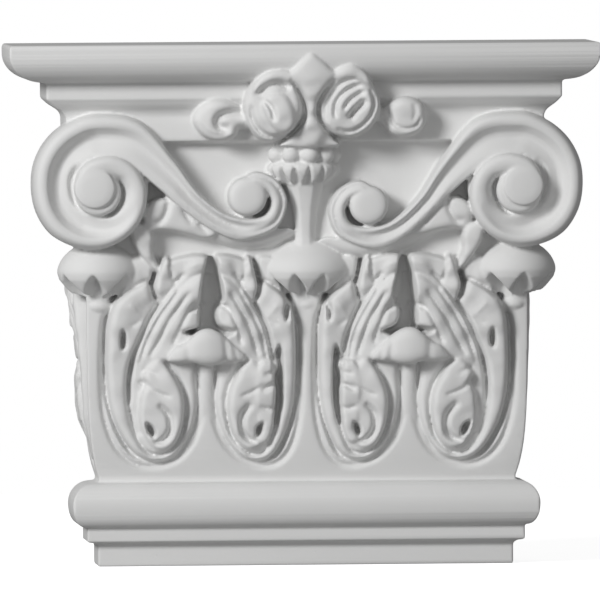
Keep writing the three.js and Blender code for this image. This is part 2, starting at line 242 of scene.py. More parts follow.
INNER_HOLLOW = [(452, 745), (474, 800), (462, 850), (454, 900), (470, 958), (460, 1015), (470, 1130),
                (482, 1225), (462, 1250), (430, 1180), (414, 1080), (410, 960), (414, 850), (428, 780)]
INNER_MIDDLE_FOLD = [(452, 985), (510, 1000), (570, 1030)]
INNER_TOP_FOLD = [(450, 900), (500, 925), (550, 930)]
INNER_LOW_FOLD = [(462, 1130), (520, 1140), (580, 1120)]
LEAF_HEEL = [(500, 1300), (560, 1392), (640, 1404), (724, 1352), (705, 1300), (600, 1320), (545, 1280)]
LEAF_HEEL_CREST = [(600, 1370, 39.6)]
CURL_LINE = [(632, 1105), (690, 1165), (704, 1230), (690, 1285), (650, 1325), (590, 1340)]
CURL_PIT = [(548, 1212), (594, 1232), (614, 1275), (600, 1315), (562, 1285)]
CURL_VEIN = [(540, 985), (600, 1020), (655, 1045), (712, 1062)]
LONG_FLUTE = [(803, 313), (740, 375), (682, 452), (630, 525), (580, 603), (540, 690), (501, 784),
              (475, 880), (458, 995), (462, 1100)]
SECOND_FLUTE = [(770, 405), (710, 490), (652, 573), (600, 665), (561, 754), (519, 875)]
THIRD_FLUTE = [(833, 422), (770, 505), (712, 591), (670, 670), (634, 742), (585, 825)]
FOURTH_FLUTE = [(875, 465), (825, 545), (785, 616), (750, 690), (724, 754)]
TIP_HOLLOW = [(735, 420), (784, 385), (845, 340), (925, 305)]
TIP_RIB = [(800, 300), (860, 262), (925, 250)]
UPPER_TEAR = [(825, 540), (868, 528), (925, 500)]
LOWER_TEAR = [(775, 668), (830, 668), (900, 645)]
OUTER_GAP = [(598, 225), (650, 225), (655, 285), (636, 345), (622, 405), (604, 330)]
INNER_GAP = [(610, 225), (640, 225), (643, 300), (630, 370), (618, 400), (608, 320)]
LOBE = [(654, 498), (627, 434), (621, 386), (643, 310), (668, 238), (696, 218), (718, 262), (732, 330),
        (741, 386), (712, 425), (681, 470)]
LOBE_CREST = [(650, 400, 49), (690, 290, 50.5), (720, 370, 47.5), (670, 470, 46)]
LOBE_LINE = [(703, 262), (716, 320), (735, 378)]
SHOULDER_RIB = [(462, 500), (500, 540), (534, 576)]
SHOULDER_NICK = [(470, 628), (500, 622), (540, 590)]
DRILLED_HOLE = [(420, 648), (444, 672), (450, 735), (436, 776), (412, 778), (404, 735), (408, 690)]
INNER_SHOULDER_LINE = [(452, 335), (415, 400), (392, 470), (400, 545)]
INNER_HOLE = [(400, 500), (420, 530), (424, 575), (408, 615), (388, 600), (384, 540)]
MIDDLE_GAP = [(932, 225), (990, 225), (1010, 320), (1030, 400), (1035, 480), (990, 520), (985, 640),
              (930, 660), (850, 690), (800, 674), (905, 636), (932, 590), (925, 540), (900, 515),
              (934, 430), (942, 330)]


def carve_half_bay(clay, outer):
    """One half of a bay, drawn as on the left bay's outer side."""
    clay.sink(U_GROUND, SUNK - 1, 2.2)
    # the broad band that runs round the U, with its leafy shoulder
    clay.swell(BAND, BAND_CREST, 3.2, 5.0)
    # the tongue that runs over from the cap to the band's shoulder
    clay.swell(TONGUE, TONGUE_CREST, 2.0, 3)
    clay.crease(TONGUE_LINE, 0.8, 2.6, 0.1, 0.1)
    # the groove all round the U
    clay.crease(GROOVE_ROUND, 1.1, 2.2, 0.04, 0.04)
    # the fluted leaf, rising to the tip under the bell
    clay.swell(TALL_LEAF, TALL_LEAF_CREST, 1.9, 3.6)
    # the leaf curled up inside the U
    clay.swell(CURLED_LEAF, CURLED_LEAF_CREST, 2.6, 4.6)
    if not outer:
        clay.swell(INNER_CURL, INNER_CURL_CREST, 1.6, 3.4)
        clay.sink(INNER_HOLLOW, 33.5, 0.9)
        clay.crease(INNER_MIDDLE_FOLD, 0.9, 3.6, 0.02, 0.4)
        clay.crease(INNER_TOP_FOLD, 0.8, 2.4, 0.02, 0.5)
        clay.crease(INNER_LOW_FOLD, 0.8, 2.0, 0.02, 0.5)
    clay.swell(LEAF_HEEL, LEAF_HEEL_CREST, 2.0, 1.5)
    clay.crease(CURL_LINE, 1.2, 3.8)
    clay.sink(CURL_PIT, 34, 1.2)
    clay.crease(CURL_VEIN, 0.7, 1.4)
    # flutes of the tall leaf
    clay.crease(LONG_FLUTE, 0.95, 4.8, 0.12, 0.25)
    clay.crease(SECOND_FLUTE, 0.7, 2.4, 0.15, 0.2)
    clay.crease(THIRD_FLUTE, 0.75, 2.6, 0.2, 0.15)
    clay.crease(FOURTH_FLUTE, 0.75, 2.2, 0.2, 0.15)
    clay.crease(TIP_HOLLOW, 1.3, 1.9, 0.15, 0.1)
    clay.crease(TIP_RIB, 1.0, -0.8, 0.3, 0.3)
    # its two torn edges by the gap
    clay.crease(UPPER_TEAR, 0.8, 3.0 if outer else 1.6, 0.3, 0.02)
    clay.crease(LOWER_TEAR, 0.9, 3.5 if outer else 1.8, 0.3, 0.02)
    # the dark gap and the lobe that stands between the tongue and the tall leaf
    if outer:
        clay.sink(OUTER_GAP, 36.5, 1.0)
    else:
        clay.sink(INNER_GAP, 40.5, 0.8)
    clay.swell(LOBE, LOBE_CREST, 1.8, 3)
    clay.crease(LOBE_LINE, 0.6, 1.8, 0.1, 0.1)
    clay.crease(SHOULDER_RIB, 0.5, -0.8)
    clay.crease(SHOULDER_NICK, 0.6, 1.0)
    if outer:
        clay.sink(DRILLED_HOLE, 36, 1.1)
    else:
        clay.crease(INNER_SHOULDER_LINE, 1.0, 5.0, 0.15, 0.02)
        clay.sink(INNER_HOLE, 35, 1.0)
    # the tips along the curled leaf's ragged side
    if outer:
        for x, y in RAGGED_TIPS:
            clay.crease([(x - 30, y + 12), (x + 5, y + 22), (x + 60, y + 50)], 0.8, 1.6, 0.05, 0.5)


def outer_place(cx, cy):
    return BAY_MIDDLE + (MIDDLE_LINE - cx) / DRAWN, BAY_TOP - cy / DRAWN


def inner_place(cx, cy):
    """The inner half is narrower, and its tall leaf stands back from the middle to leave the dark gap."""
    z = BAY_TOP - cy / DRAWN
    t = min(max((z - 86) / 12, 0), 1)
    back = 3.8 * t * t * (3 - 2 * t)
    return BAY_MIDDLE - back - (MIDDLE_LINE - cx) / DRAWN * (INNER_NARROWER - back / 44.8), z


out = np.arange(0, CORNER + GRAIN / 2, CORNER / round(CORNER / GRAIN))
up = np.linspace(36.0, 134.0, 273)
bays = Clay(out, up, np.where(up > 130.4, BELL_REACH, neck_reach(up)), outer_place)
carve_half_bay(bays, True)
bays.place = inner_place
carve_half_bay(bays, False)
bays.place = outer_place
bays.sink(MIDDLE_GAP, SUNK, 1.0)


def soften(reach, times):
    """Rubs the clay over, so that no edge is sharper than the casting can hold."""
    for _ in range(times):
        wide = np.pad(reach, 1, mode="edge")
        reach = (wide[:-2, 1:-1] + 2 * wide[1:-1, 1:-1] + wide[2:, 1:-1]) / 4
        wide = np.pad(reach, 1, mode="edge")
        reach = (wide[1:-1, :-2] + 2 * wide[1:-1, 1:-1] + wide[1:-1, 2:]) / 4
    return reach


bays.reach = soften(bays.reach, 2)


def thicken(sheet, to_back):
    """Carries a sheet back into the body, so that it is a closed piece."""
    grown = bmesh.ops.extrude_face_region(sheet, geom=sheet.faces[:])
    for item in grown["geom"]:
        if isinstance(item, bmesh.types.BMVert):
            to_back(item.co)


def lay_sheet(clay, columns, to_place, to_back):
    """Lays worked clay on one face of the body and thickens it back into the body."""
    sheet = bmesh.new()
    wide = len(columns) - 1
    high = len(clay.up) - 1
    bmesh.ops.create_grid(sheet, x_segments=wide, y_segments=high, size=0.5)
    for vert in sheet.verts:
        col = columns[round((vert.co.x + 0.5) * wide)]
        row = round((vert.co.y + 0.5) * high)
        vert.co = to_place(clay.out[col], clay.reach[row, col], clay.up[row], clay.plain[row])
    thicken(sheet, to_back)
    join_pattern(sheet)


def flat_back(reach):
    """A flat back at one distance from the wall."""
    def to_back(co):
        co.y = (WALL - reach) * 0.001
    return to_back


def front_back(co):
    co.x *= (CORE_HALF + SHEET_SETTING) / CORNER
    co.y = (WALL - SHEET_SETTING) * 0.001


whole = list(range(len(out)))
half = [i for i in whole if out[i] >= BAY_MIDDLE - 0.3]
for side in (-1, 1):
    def on_front(s, reach, z, flat):
        return spot(side * s * (CORE_HALF + min(flat, STEM_REACH)) / CORNER, reach, z)

    side_relief = 0.22 if side > 0 else 0.62

    def on_return(s, reach, z, flat):
        low = min(max((z - 52) / 10, 0), 1)
        reach = flat + (reach - flat) * (side_relief * low if reach > flat else 1)
        run = (s - out[half[0]]) / (CORNER - out[half[0]])
        return spot(side * (CORE_HALF + reach), run * min(flat, STEM_REACH), z)

    def return_back(co):
        co.x = side * (CORE_HALF + SHEET_SETTING) * 0.001
        co.y = WALL * 0.001 - (WALL * 0.001 - co.y) * SHEET_SETTING / STEM_REACH

    lay_sheet(bays, whole, on_front, front_back)
    lay_sheet(bays, half, on_return, return_back)

# The knobs: a small mushroom cap with drooping wings sits on each bay's short stem, in front of the leaf
# tips. It was modelled in the round and stands clear of the sunk ground, in one with the casting.
STEM_HEIGHTS = (92, 84, 74, 64, 54)
STEM_HALF_WIDTHS = (4.4, 3.2, 3.0, 3.8, 6.4)
STEM_CREST = [43.5, 42.0, 40.6, 38.8, 36.0]
KNOB_TOP = [(16.4, 89.4), (13.2, 93.0), (9.6, 94.6), (6.6, 97.2), (3.0, 99.9), (-0.8, 100.6), (-4.8, 99.2),
            (-8.6, 96.4), (-12.2, 93.2), (-15.8, 90.0)]
KNOB_UNDER = [(16.4, 86.6), (12.6, 86.2), (9.4, 86.4), (6.0, 86.4), (2.6, 85.6), (-0.8, 85.2), (-4.4, 85.4),
              (-8.0, 86.4), (-12.0, 86.2), (-15.8, 86.8)]
KNOB_CREST = [47, 49.2, 50.4, 51.4, 52, 52, 51.2, 49.8, 48.4, 46.5]


def strip(edge_a, edge_b, crest, shape, along, across, back=30.0):
    """A carved strip between two edge lines, its top shaped by a function, with its back in the body."""
    a = smooth_line(edge_a, fine=24)
    b = smooth_line(edge_b, fine=24)
    c = smooth_line([(0, height) for height in crest], fine=24)[:, 1]
    band = bmesh.new()
    bmesh.ops.create_grid(band, x_segments=along, y_segments=across, size=0.5)
    for vert in band.verts:
        u = min(max(vert.co.x + 0.5, 0), 1)
        w = min(max(vert.co.y + 0.5, 0), 1)
        pa = [np.interp(u * (len(a) - 1), range(len(a)), a[:, k]) for k in (0, 1)]
        pb = [np.interp(u * (len(b) - 1), range(len(b)), b[:, k]) for k in (0, 1)]
        top = np.interp(u * (len(c) - 1), range(len(c)), c)
        vert.co = spot(pa[0] + (pb[0] - pa[0]) * w, top - shape(u, w), pa[1] + (pb[1] - pa[1]) * w)
    thicken(band, flat_back(back))
    return band


def round_back(drop):
    return lambda u, w: drop * (1 - math.sqrt(max(0.0, 1 - (2 * w - 1) ** 2)))


def add_pair(make):
    """Adds a piece to the right of the centre line and its mirror image to the left."""
    for side in (1, -1):
        piece = make(side)
        if side < 0:
            bmesh.ops.scale(piece, verts=piece.verts[:], vec=(-1, 1, 1))
        join_pattern(piece)


def knob(side):
    def cap(u, w):
        edge = 1 - math.sqrt(max(0.0, 1 - abs(2 * w - 1) ** 3.2))
        fold = 0.9 * math.exp(-((u - 0.74 - 0.05 * w) / 0.035) ** 2)
        fold += 0.7 * math.exp(-((u - 0.86 - 0.05 * w) / 0.03) ** 2)
        return 4.8 * edge + fold + 0.8 * math.exp(-((u - 0.27) / 0.05) ** 2)

    top = [(BAY_MIDDLE + a, z) for a, z in KNOB_TOP]
    under = [(BAY_MIDDLE + a, z) for a, z in KNOB_UNDER]
    return strip(top, under, KNOB_CREST, cap, 90, 30)


def short_stem(side):
    near = [(BAY_MIDDLE - a, z) for a, z in zip(STEM_HALF_WIDTHS, STEM_HEIGHTS)]
    far = [(BAY_MIDDLE + a, z) for a, z in zip(STEM_HALF_WIDTHS, STEM_HEIGHTS)]
    return strip(near, far, STEM_CREST, round_back(2.5), 60, 14)


add_pair(knob)
add_pair(short_stem)

# The calyx caps: a domed cap over each corner stem and over the centre one, cast with them. Its rim droops
# in tongues that run down into the stem, with dark three-cornered hollows cut up between them.
CALYX_FULL = ([100, 105, 112, 117.5, 121.5, 124.3], [0.2, 0.25, 0.46, 0.76, 0.95, 1.0])
CALYX_CUT = ([100, 105, 112, 117.5, 121.4, 122.8, 124.3], [0.15, 0.16, 0.2, 0.3, 0.42, 0.75, 1.0])
CALYX_RIM = 124.3
CALYX_FOOT = 103


def turned(profile, steps, place):
    """A turned piece: a profile of (radius, distance along) spun round its axis, then set in place."""
    piece = bmesh.new()
    verts = [piece.verts.new((max(r, 0.0), 0, along)) for r, along in profile]
    edges = [piece.edges.new(pair) for pair in zip(verts, verts[1:])]
    bmesh.ops.spin(piece, geom=verts + edges, axis=(0, 0, 1), cent=(0, 0, 0), angle=2 * math.pi,
                   steps=steps, use_merge=True)
    bmesh.ops.remove_doubles(piece, verts=piece.verts[:], dist=1e-4)
    for vert in piece.verts:
        vert.co = place(vert.co)
    return piece


def calyx(x, reach, radius, points, turn, rise):
    """The cap's tongues run down into the stem, with three-cornered hollows between them."""
    profile = [(0, CALYX_FOOT), (0.4, 103.2), (0.6, 104)]
    profile += [(radius * 0.2 + step * 0.02, 105 + 19 * step / 36) for step in range(37)]
    profile += [(radius, 125), (radius * 0.985, 126.5), (radius * 0.955, 128), (radius * 0.905, 129.7)]
    profile += [(radius * 0.83, 131.5), (radius * 0.72, 133.4), (radius * 0.55, 134.8 + 0.4 * rise)]
    profile += [(0, 135 + rise)]

    def place(co):
        angle = math.atan2(co.y, co.x) + math.pi / 2
        r = math.hypot(co.x, co.y)
        if 105 <= co.z < CALYX_RIM and r > 0:
            apart = abs(((angle - turn) * points / (2 * math.pi) + 0.5) % 1 - 0.5) * 2
            half_width = (123.4 - co.z) / 9
            hollow = min(max((half_width - apart) / 0.22 + 0.5, 0), 1)
            hollow *= min(1, max(0, (co.z - 109) / 4))
            wide = float(np.interp(co.z, *CALYX_FULL))
            r = radius * (wide + (float(np.interp(co.z, *CALYX_CUT)) - wide) * hollow)
            r *= min(1, 0.2 + max(0, co.z - CALYX_FOOT) / 10)
        return spot(x + r * math.sin(angle), reach + r * math.cos(angle), co.z)

    return turned(profile, 168, place)


add_pair(lambda side: calyx(x=88.0, reach=36.0, radius=17.6, points=7, turn=math.radians(11), rise=1.5))
join_pattern(calyx(x=0.0, reach=34.0, radius=20.3, points=10, turn=math.pi / 10, rise=4.8))

# The volutes: each is one long band with a rounded rim, cast in one with the rest. It winds out from a
# flat eye, comes down the front as the S band and turns up again into a small scroll. A plain roll fills
# the corner behind it. Each profile below is the drop from the band's crest across its width.
VOLUTE_X = 88.6
VOLUTE_Z = 160.3
VOLUTE_RIM = ([0, 1, 1.5, 2, 3, 4, 5, 6], [31.5, 27.7, 27.7, 25.6, 20.0, 13.2, 9.8, 8.6])
VOLUTE_CREST = [56.5, 56.6, 57.2, 58.4, 59.8, 60.2, 60.2]
EYE_RADIUS = 8.5
EYE_REACH = 60.6
RIGHT_SCROLL_DROP = 4.0
RIM_THEN_TROUGH = ((0, 0.03, 0.08, 0.14, 0.22, 0.3, 0.37, 0.45, 0.56, 0.7, 0.88, 0.96, 1),
                   (6.5, 3.6, 1.4, 0.3, 0, 0.4, 2.5, 4.9, 5.6, 4.5, 2.4, 2.4, 3.0))
GROOVED = ((0, 0.03, 0.08, 0.14, 0.22, 0.3, 0.37, 0.45, 0.56, 0.7, 0.84, 0.91, 0.95, 1),
           (6.5, 3.6, 1.4, 0.3, 0, 0.4, 2.5, 4.9, 5.7, 4.6, 3.0, 3.2, 6.0, 8.5))
WIDE_GROOVE = ((0, 0.03, 0.08, 0.14, 0.22, 0.3, 0.37, 0.45, 0.56, 0.66, 0.74, 0.79, 0.84, 0.88, 1),
               (6.5, 3.6, 1.4, 0.3, 0, 0.4, 2.5, 4.9, 5.7, 5.0, 4.3, 5.0, 8.0, 9.5, 10))
LAST_TURN = ((0, 0.04, 0.1, 0.2, 0.35, 0.5, 0.65, 0.8, 0.92, 1),
             (5.5, 2.8, 1.3, 0.3, 0, 0.1, 0.7, 2.2, 4.6, 8.0))
INTO_EYE = ((0, 0.06, 0.15, 0.3, 0.5, 1), (4.5, 2.2, 0.8, 0.1, 0, 0))
INNER_EDGE = ((0, 1.6, 2.2, 3.0, 3.3, 3.55, 4.2, 5), (-1, -1, 3.3, 1.8, -0.2, -3.2, -4, -5))
S_BAND = ((0, 0.04, 0.09, 0.15, 0.22, 0.32, 0.42, 0.55, 0.7, 0.8, 0.87, 0.9, 0.94, 0.97, 1),
          (6.0, 2.6, 0.6, 0, 0.5, 2.6, 3.2, 2.2, 0.9, 0.8, 1.5, 1.9, 1.5, 1.9, 4.5))
SCROLL = ((0, 0.05, 0.12, 0.25, 0.4, 0.55, 0.66, 0.72, 0.78, 0.86, 0.94, 1),
          (5.5, 2.6, 1.0, 0.1, 0, 0.6, 1.8, 2.5, 1.7, 1.4, 2.2, 5.5))
# the knots along the band at which each profile holds
BAND_PROFILES = [(0, INTO_EYE), (3, INTO_EYE), (7, LAST_TURN), (9, LAST_TURN), (13, GROOVED),
                 (14.5, WIDE_GROOVE), (16.8, WIDE_GROOVE), (18.5, GROOVED), (20, RIM_THEN_TROUGH),
                 (22.5, S_BAND), (24.5, S_BAND), (26, SCROLL), (31, SCROLL)]
S_TOP = [(70.6, 188.4), (56.6, 172.8), (46.5, 158.9), (35.9, 150.2), (26.5, 147.4), (19.0, 148.4),
         (15.9, 153.0), (17.0, 157.8), (20.4, 160.6), (24.5, 160.8), (26.5, 158.6)]
S_UNDER = [(77.4, 171.0), (63.4, 160.2), (53.6, 151.6), (40.1, 142), (27.5, 137.9), (13.5, 143.0),
           (8.9, 152.4), (10.4, 159.4), (14.8, 164.4), (22.2, 166.8), (29.4, 162.6)]
S_CREST = [56.3, 55.5, 54.5, 53.2, 52.6, 52.8, 53.2, 53.8, 54.2, 54.4, 54.0]
QUARTER = 4
TURNS_KNOTS = 5 * QUARTER
LAST_RIM = 8.6
EYE = [(0, 30), (EYE_RADIUS, 30), (EYE_RADIUS, 58.6), (EYE_RADIUS - 0.4, 59.8),
       (EYE_RADIUS - 1.4, EYE_REACH - 0.6), (EYE_RADIUS - 3.2, EYE_REACH - 0.2), (0, EYE_REACH)]
EYE_STEP = [(0, 30), (9.6, 30), (9.6, 55.4), (9.2, 57.0), (8.2, 57.8), (0, 57.8)]
VOLUTE_CORE = [(0, 24), (21, 24), (21, 50), (12, 50), (0, 50)]
SIDE_ROLL = [(0, 0), (22, 0), (21.6, 4), (19.4, 14), (18.8, 23), (19.4, 32), (21.6, 43), (22.4, 48),
             (0, 48)]
SCROLL_EYE = [(0, 30), (8.2, 30), (8.2, 50), (8.0, 52.2), (7.4, 53.6), (6.2, 54.5), (4.2, 54.9), (0, 55.0)]
SIDE_ROLL_X = 91
SCROLL_X = 25.6
SCROLL_Z = 156.4


def on_volute(quarters, radius):
    angle = math.pi / 2 - math.pi / 2 * quarters
    return VOLUTE_X + radius * math.cos(angle), VOLUTE_Z + radius * math.sin(angle)


def lowered(points, side):
    """The right scroll hangs a little lower than the left one."""
    by = RIGHT_SCROLL_DROP if side > 0 else 0
    moved = []
    for x, z in points:
        t = min(max((66 - x) / 30, 0), 1)
        moved.append((x, z - by * t * t * (3 - 2 * t)))
    return moved


def mix_profiles(stops, place, w):
    """The drop below the crest, blended between the profiles on either side of a knot."""
    for (low, first), (high, second) in zip(stops, stops[1:]):
        if place <= high:
            t = min(max((place - low) / (high - low), 0), 1)
            return (1 - t) * np.interp(w, *first) + t * np.interp(w, *second)
    return np.interp(w, *stops[-1][1])


def long_band(side):
    rim = []
    inner = []
    crest = []
    for knot in range(TURNS_KNOTS, -1, -1):
        q = knot / QUARTER
        rim.append(on_volute(q, float(np.interp(q, *VOLUTE_RIM))))
        next_turn = float(np.interp(q + 4, *VOLUTE_RIM)) if q < 2 else LAST_RIM
        inner.append(on_volute(q, next_turn + float(np.interp(q, *INNER_EDGE))))
        crest.append(float(np.interp(q, range(7), VOLUTE_CREST)))
    a = rim + lowered(S_TOP, side)
    b = inner + lowered(S_UNDER, side)

    def across(u, w):
        return mix_profiles(BAND_PROFILES, u * (len(a) - 1), w)

    return strip(a, b, crest + S_CREST, across, 560, 44)


def boss(x, z, profile, steps=64):
    return turned(profile, steps, lambda co: spot(x + co.x, co.z, z + co.y))


def scroll_eye(side):
    return boss(SCROLL_X, SCROLL_Z - (RIGHT_SCROLL_DROP if side > 0 else 0), SCROLL_EYE)


add_pair(long_band)
add_pair(lambda side: boss(VOLUTE_X, VOLUTE_Z, VOLUTE_CORE))
add_pair(lambda side: boss(VOLUTE_X + 0.4, VOLUTE_Z - 1.9, EYE_STEP))
add_pair(lambda side: boss(VOLUTE_X + 2.0, VOLUTE_Z + 0.2, EYE))
add_pair(lambda side: boss(SIDE_ROLL_X, VOLUTE_Z, SIDE_ROLL, 96))
add_pair(scroll_eye)

# The sheath: a smooth fold that the S band rises from, over the bell beside the centre cap. It is low and
# plain, and cast in one with the bell.
SHEATH_TOP = [(60, 158), (46, 150), (34, 144), (23, 141.6), (8, 143)]
SHEATH_UNDER = [(59, 142.4), (43.5, 138.4), (30.5, 134.6), (17.0, 134.8), (3, 140.5)]
SHEATH_CREST = [47, 48.5, 49, 48.5, 46.5]


def sheath(side):
    return strip(lowered(SHEATH_TOP, side), lowered(SHEATH_UNDER, side), SHEATH_CREST,
                 lambda u, w: 0.6 + 1.2 * w + 5.5 * w ** 5, 80, 18)


add_pair(sheath)

# The sprigs: a small leaf springs from behind each volute and creeps along under the S band, and another
# hangs down on the corner cap. They are shallow, worked as clay with outlines at 2.367 units to the mm.
SEEN = 2.367
SEEN_FOOT = 566.0
SPRIG_MIDDLE = 304.7
BACKING_REACH = 26.0
UNDER_BELL = 34.0
CREEPING_LEAF = [(140, 212), (147, 201), (157, 197), (166, 198), (174, 196), (183, 202), (192, 210),
                 (203, 219), (216, 231), (204, 238), (186, 234), (170, 230), (157, 229), (148, 230),
                 (141, 224)]
CREEPING_LEAF_CREST = [(150, 210, 51.5), (165, 212, 51), (180, 218, 50.5), (200, 229, 49.5),
                       (150, 226, 49.5)]
FIRST_NICK = [(177, 200), (182, 211), (190, 224)]
SECOND_NICK = [(191, 212), (197, 223), (206, 234)]
CREEPING_FOLD = [(165, 200), (163, 211), (157, 220), (149, 222)]
HANGING_LEAF = [(129, 228), (136, 222), (145, 226), (150, 236), (149, 248), (152, 258), (157, 270),
                (150, 269), (142, 260), (135, 250), (130, 240)]
HANGING_LEAF_CREST = [(139, 235, 50.5), (145, 250, 49.5), (152, 263, 47.5)]
sprig_out = np.linspace(38, 75, 93)
sprig_up = np.linspace(124, 156, 81)


def sprig_at(u, v):
    return (SPRIG_MIDDLE - u) / SEEN, (SEEN_FOOT - v) / SEEN


for side in (-1, 1):
    sprig = Clay(sprig_out, sprig_up, np.full(len(sprig_up), UNDER_BELL), sprig_at)
    sprig.swell(CREEPING_LEAF, CREEPING_LEAF_CREST, 3.0, 3.2)
    sprig.crease(FIRST_NICK, 1.3, 2.6, 0.1, 0.35)
    sprig.crease(SECOND_NICK, 1.3, 2.0, 0.1, 0.35)
    sprig.crease(CREEPING_FOLD, 1.1, 2.0, 0.1, 0.35)
    sprig.swell(HANGING_LEAF, HANGING_LEAF_CREST, 2.4, 2.8)
    sprig.reach = soften(sprig.reach, 2)
    lay_sheet(sprig, range(len(sprig_out)), lambda s, reach, z, flat: spot(side * s, reach, z),
              flat_back(BACKING_REACH))

# The centre ornament: a pointed bud between two roses, with a curled tendril on either side. It laps over
# the abacus and its lip, and is worked here as one sheet of clay over the moulding.
POSY_MIDDLE = 307.5
LEFT_TENDRIL = [(192, 119), (197, 106), (208, 98), (222, 96), (236, 102), (247, 111), (256, 118),
                (256, 128), (240, 128), (236, 135), (226, 140), (213, 140), (200, 133)]
LEFT_TENDRIL_CREST = [(200, 112, 56.5), (215, 104, 59), (215, 130, 57), (245, 118, 57)]
LEFT_CURL = [(246, 113), (234, 111), (222, 113), (216, 119), (219, 126), (229, 128)]
LEFT_TENDRIL_LINE = [(200, 122), (207, 131), (220, 134), (231, 129)]
RIGHT_TENDRIL = [(366, 112), (376, 112), (388, 102), (401, 96), (414, 98), (424, 107), (425, 121),
                 (418, 132), (405, 137), (391, 134), (383, 125), (376, 121), (364, 124)]
RIGHT_TENDRIL_CREST = [(405, 104, 61), (405, 125, 59.5), (380, 116, 58)]
RIGHT_CURL = [(386, 108), (390, 118), (394, 125), (404, 129), (415, 126), (420, 117)]
RIGHT_TENDRIL_LINE = [(412, 103), (414, 112), (412, 122)]
LEFT_ROSE = [(242, 104), (246, 88), (256, 75), (270, 68), (284, 70), (296, 80), (303, 96), (304, 113),
             (297, 127), (284, 137), (270, 141), (257, 137), (247, 124)]
LEFT_ROSE_CREST = [(250, 105, 64.5), (270, 80, 68.5), (295, 98, 67.5), (270, 132, 63.5), (275, 105, 66)]
LEFT_HOOD = [(246, 100), (252, 83), (264, 71), (283, 68), (296, 77), (302, 92), (301, 104), (293, 92),
             (284, 82), (270, 81), (258, 89), (251, 101)]
LEFT_HOOD_CREST = [(270, 74, 70.8), (290, 78, 70.6), (256, 84, 68.5), (250, 98, 64.5), (300, 100, 66.5)]
LEFT_ROSE_LINE = [(249, 104), (251, 118), (259, 130), (272, 136), (286, 134), (296, 124), (300, 110),
                  (298, 94), (290, 81)]
LEFT_HEART = [(259, 104), (262, 95), (272, 90), (283, 92), (290, 101), (294, 113), (293, 125), (285, 132),
              (275, 130), (267, 122), (262, 113)]
LEFT_HEART_CREST = [(270, 100, 69.5), (283, 122, 69), (278, 112, 70.3)]
LEFT_HEART_TOP = [(256, 93), (263, 87), (273, 83), (282, 84), (288, 88)]
LEFT_SLIT = [(260, 97), (266, 103), (270, 110), (272, 120)]
RIGHT_ROSE = [(316, 112), (315, 96), (320, 83), (329, 74), (335, 67), (348, 64), (358, 68), (368, 80),
              (377, 94), (379, 110), (372, 125), (360, 134), (346, 137), (331, 133), (321, 124)]
RIGHT_ROSE_CREST = [(322, 95, 65.5), (345, 72, 69.5), (366, 92, 67.5), (350, 125, 65), (345, 98, 68)]
RIGHT_HOOD = [(316, 100), (320, 84), (329, 72), (340, 65), (351, 63), (362, 70), (371, 83), (374, 96),
              (366, 88), (357, 80), (345, 78), (333, 83), (325, 92)]
RIGHT_HOOD_CREST = [(345, 70, 71.2), (360, 76, 70.4), (330, 78, 69.5), (320, 94, 65.5), (373, 92, 67)]
RIGHT_OUTER_FOLD = [(324, 121), (324, 104), (331, 90), (343, 80), (355, 79)]
RIGHT_MIDDLE_FOLD = [(333, 118), (333, 104), (340, 93), (351, 86), (360, 85)]
RIGHT_INNER_FOLD = [(341, 110), (346, 101), (355, 94), (363, 91)]
RIGHT_SLIT = [(347, 118), (351, 112), (358, 105), (364, 99)]
RIGHT_ROSE_LINE = [(368, 88), (372, 101), (369, 114), (360, 125), (347, 131), (334, 128)]
BUD = [(309, 51), (318, 57), (327, 66), (334, 74), (326, 84), (317, 97), (315, 110), (318, 121),
       (326, 131), (332, 138), (336, 146), (281, 146), (286, 139), (293, 133), (301, 124), (305, 112),
       (303, 98), (297, 86), (285, 74), (293, 65), (300, 57)]
BUD_CREST = [(309, 58, 71.9), (309, 74, 71.8), (309, 90, 70.2), (309, 105, 67.5), (309, 120, 64.5),
             (309, 135, 62), (290, 144, 58.5), (328, 144, 58.5)]
BUD_LEFT_EDGE = [(287, 78), (296, 89), (302, 102), (303, 114), (298, 126), (286, 136)]
BUD_RIGHT_EDGE = [(334, 78), (325, 87), (318, 99), (316, 112), (321, 123), (333, 135)]
posy_out = np.linspace(-51, 51, 256)
posy_up = np.linspace(174.0, 219.5, 116)


def seen_at(u, v):
    return (u - POSY_MIDDLE) / SEEN, (SEEN_FOOT - v) / SEEN


posy = Clay(posy_out, posy_up, np.full(len(posy_up), UNDER_BELL), seen_at, 30.0)
# tendrils
posy.swell(LEFT_TENDRIL, LEFT_TENDRIL_CREST, 4.2, 7)
posy.crease(LEFT_CURL, 1.5, 3.8, 0.1, 0.15)
posy.crease(LEFT_TENDRIL_LINE, 0.5, 0.9)
posy.swell(RIGHT_TENDRIL, RIGHT_TENDRIL_CREST, 4.0, 5.5)
posy.crease(RIGHT_CURL, 0.7, 2.0, 0.1, 0.1)
posy.crease(RIGHT_TENDRIL_LINE, 0.8, 1.0)
# roses
posy.swell(LEFT_ROSE, LEFT_ROSE_CREST, 5.0, 8)
posy.swell(LEFT_HOOD, LEFT_HOOD_CREST, 2.6, 3.0)
posy.crease(LEFT_ROSE_LINE, 0.9, 3.6, 0.1, 0.1)
posy.swell(LEFT_HEART, LEFT_HEART_CREST, 3.4, 5.2)
posy.crease(LEFT_HEART_TOP, 1.3, 3.6, 0.15, 0.2)
posy.crease(LEFT_SLIT, 0.9, 3.8, 0.3, 0.2)
posy.swell(RIGHT_ROSE, RIGHT_ROSE_CREST, 5.0, 8)
posy.swell(RIGHT_HOOD, RIGHT_HOOD_CREST, 2.6, 2.8)
posy.crease(RIGHT_OUTER_FOLD, 0.85, 3.2, 0.15, 0.2)
posy.crease(RIGHT_MIDDLE_FOLD, 0.85, 3.4, 0.2, 0.2)
posy.crease(RIGHT_INNER_FOLD, 0.85, 3.2, 0.25, 0.25)
